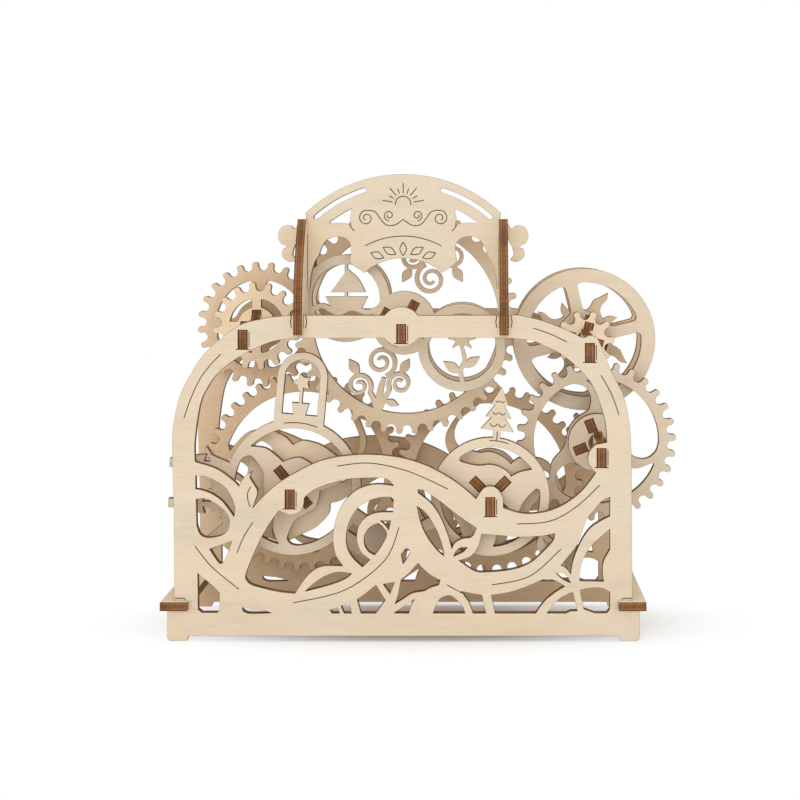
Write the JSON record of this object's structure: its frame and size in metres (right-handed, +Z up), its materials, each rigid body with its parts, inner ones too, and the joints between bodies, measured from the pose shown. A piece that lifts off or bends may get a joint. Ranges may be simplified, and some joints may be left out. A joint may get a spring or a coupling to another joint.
{
  "type": "wooden gear theater model",
  "caption": "Hand turned plywood model: a pierced stage front and back hold meshed wooden gear wheels that carry little scenes, under an arched header board.",
  "frame": {"origin": "middle of the footprint, on the plane the four feet stand on", "axes": "+X to the right seen from the front, +Y from the front panel to the back panel, +Z up"},
  "size_m": [0.2384, 0.075, 0.213],
  "materials": {
    "face_plywood": "bare pale birch plywood, laser cut, dry and matt",
    "middle_plywood": "bare birch plywood, laser cut, dry and matt",
    "rear_plywood": "bare birch plywood, laser cut, dry and matt",
    "burnt_plywood": "laser burnt plywood edge, dark brown with paler plies"
  },
  "bodies": {
    "frame": {"front_panel": "face_plywood", "back_panel": "rear_plywood", "left_cross_bar": "burnt_plywood", "right_cross_bar": "burnt_plywood", "left_wing": "burnt_plywood", "right_wing": "burnt_plywood", "header_board": "face_plywood", "corner_axle": "burnt_plywood", "centre_axle": "burnt_plywood", "hand_axle": "burnt_plywood", "side_axle": "burnt_plywood", "right_axle": "burnt_plywood", "left_axle": "burnt_plywood"},
    "corner_wheel": {"corner_pinion": "middle_plywood", "corner_gear": "rear_plywood", "corner_spacer_1": "burnt_plywood", "corner_spacer_2": "burnt_plywood", "corner_spacer_3": "burnt_plywood", "corner_spacer_4": "burnt_plywood"},
    "centre_wheel": {"ring_gear": "middle_plywood", "medallion_plate": "face_plywood", "centre_spacer_1": "burnt_plywood", "centre_spacer_2": "burnt_plywood", "centre_spacer_3": "burnt_plywood", "centre_spacer_4": "burnt_plywood"},
    "hand_wheel": {"hand_pinion": "middle_plywood", "hand_wheel_front": "face_plywood", "sun_plate": "middle_plywood", "hand_wheel_back": "rear_plywood", "hand_spacer_1": "burnt_plywood", "hand_spacer_2": "burnt_plywood", "hand_spacer_3": "burnt_plywood", "hand_spacer_4": "burnt_plywood"},
    "side_wheel": {"side_hub": "face_plywood", "side_gear": "face_plywood", "side_pinion": "rear_plywood", "side_spacer_1": "burnt_plywood", "side_spacer_2": "burnt_plywood", "side_spacer_3": "burnt_plywood", "side_spacer_4": "burnt_plywood"},
    "left_wheel": {"left_scene_wheel": "face_plywood", "left_wave_plate": "middle_plywood", "left_gear": "rear_plywood", "left_spacer_1": "burnt_plywood", "left_spacer_2": "burnt_plywood", "left_spacer_3": "burnt_plywood", "left_spacer_4": "burnt_plywood"},
    "right_wheel": {"right_scene_wheel": "face_plywood", "right_wave_plate": "middle_plywood", "right_gear": "rear_plywood", "right_spacer_1": "burnt_plywood", "right_spacer_2": "burnt_plywood", "right_spacer_3": "burnt_plywood", "right_spacer_4": "burnt_plywood"}
  },
  "joints": [
    {"name": "hand_wheel_turn", "type": "hinge", "parent": "frame", "child": "hand_wheel", "pos_m": [0.07583, 0, 0.1346], "axis": [0, 1, 0], "continuous": true},
    {"name": "side_wheel_turn", "type": "hinge", "parent": "frame", "child": "side_wheel", "pos_m": [0.08113, 0, 0.0868], "axis": [0, 1, 0], "continuous": true},
    {"name": "right_wheel_turn", "type": "hinge", "parent": "frame", "child": "right_wheel", "pos_m": [0.03053, 0, 0.0645], "axis": [0, 1, 0], "continuous": true},
    {"name": "left_wheel_turn", "type": "hinge", "parent": "frame", "child": "left_wheel", "pos_m": [-0.06067, 0, 0.068], "axis": [0, 1, 0], "continuous": true},
    {"name": "corner_wheel_turn", "type": "hinge", "parent": "frame", "child": "corner_wheel", "pos_m": [-0.08207, 0, 0.1406], "axis": [0, 1, 0], "continuous": true},
    {"name": "centre_wheel_turn", "type": "hinge", "parent": "frame", "child": "centre_wheel", "pos_m": [-0.00997, 0, 0.1432], "axis": [0, 1, 0], "continuous": true}
  ],
  "couplings": [
    {"joint": "side_wheel_turn", "follows": "hand_wheel_turn", "ratio": -0.33333},
    {"joint": "right_wheel_turn", "follows": "hand_wheel_turn", "ratio": 0.081081},
    {"joint": "left_wheel_turn", "follows": "hand_wheel_turn", "ratio": -0.076923},
    {"joint": "corner_wheel_turn", "follows": "hand_wheel_turn", "ratio": 0.125},
    {"joint": "centre_wheel_turn", "follows": "hand_wheel_turn", "ratio": -0.045455}
  ]
}
